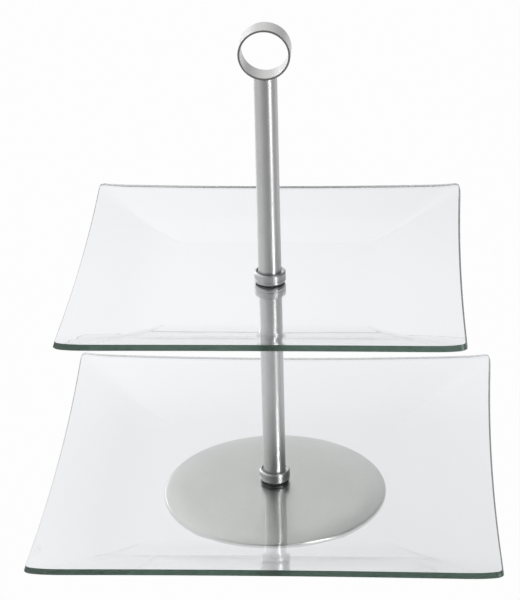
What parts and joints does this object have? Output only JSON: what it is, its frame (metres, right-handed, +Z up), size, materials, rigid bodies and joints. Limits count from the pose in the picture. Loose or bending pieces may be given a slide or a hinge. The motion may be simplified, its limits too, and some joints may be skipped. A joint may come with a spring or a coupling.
{
  "type": "tiered cake stand",
  "caption": "Tiered cake stand: square slumped-glass plates clamped on a slim brushed steel post over a low round steel base, with a flat ring handle on top.",
  "frame": {"origin": "on the table, under the post's axis", "axes": "+Z up along the post; X and Y along the plates' sides; +Y is the way a finger goes through the ring handle"},
  "size_m": [0.2978, 0.2978, 0.3377],
  "materials": {
    "clear_glass": "polished float glass, pale green in its edge",
    "brushed_post_steel": "fine brushed stainless tube",
    "turned_steel": "turned stainless, fine tool rings",
    "satin_base_steel": "satin stainless sheet",
    "plain_steel": "bright zinc",
    "black_rubber": "matt black rubber",
    "clear_silicone": "translucent silicone"
  },
  "bodies": {
    "base": {"base_dome": "satin_base_steel", "base_foot_1": "clear_silicone", "base_foot_2": "clear_silicone", "base_foot_3": "clear_silicone", "base_foot_4": "clear_silicone", "base_screw": "plain_steel", "spring_washer": "plain_steel", "base_washer": "plain_steel", "lower_seat_washer": "black_rubber"},
    "lower_plate": {"lower_plate": "clear_glass", "lower_grommet": "black_rubber"},
    "lower_collar": {"lower_collar": "turned_steel"},
    "lower_post": {"lower_tube": "brushed_post_steel", "lower_tube_foot_insert": "plain_steel", "lower_tube_head_insert": "plain_steel", "joining_stud": "plain_steel", "support_collar": "turned_steel", "upper_seat_washer": "black_rubber"},
    "upper_plate": {"upper_plate": "clear_glass", "upper_grommet": "black_rubber"},
    "upper_collar": {"upper_collar": "turned_steel"},
    "upper_post": {"upper_tube": "brushed_post_steel", "upper_tube_foot_insert": "plain_steel", "upper_tube_end_cap": "brushed_post_steel", "ring_handle": "brushed_post_steel"}
  },
  "joints": [
    {"name": "lower_plate_turn", "type": "hinge", "parent": "base", "child": "lower_plate", "pos_m": [0, 0, 0.0164], "axis": [0, 0, 1], "continuous": true},
    {"name": "lower_collar_rise", "type": "slide", "parent": "base", "child": "lower_collar", "axis": [0, 0, 1], "range_m": [0, 0.0095]},
    {"name": "lower_post_unscrew", "type": "hinge", "parent": "lower_collar", "child": "lower_post", "pos_m": [0, 0, 0.0179], "axis": [0, 0, 1], "range_deg": [0, 3420]},
    {"name": "upper_plate_turn", "type": "hinge", "parent": "lower_post", "child": "upper_plate", "pos_m": [0, 0, 0.16345], "axis": [0, 0, 1], "continuous": true},
    {"name": "upper_collar_rise", "type": "slide", "parent": "lower_post", "child": "upper_collar", "axis": [0, 0, 1], "range_m": [0, 0.0095]},
    {"name": "upper_post_unscrew", "type": "hinge", "parent": "upper_collar", "child": "upper_post", "pos_m": [0, 0, 0.16495], "axis": [0, 0, 1], "range_deg": [0, 3420]}
  ],
  "couplings": [
    {"joint": "lower_post_unscrew", "follows": "lower_collar_rise", "rad_per_m": 6283.2},
    {"joint": "upper_post_unscrew", "follows": "upper_collar_rise", "rad_per_m": 6283.2}
  ]
}
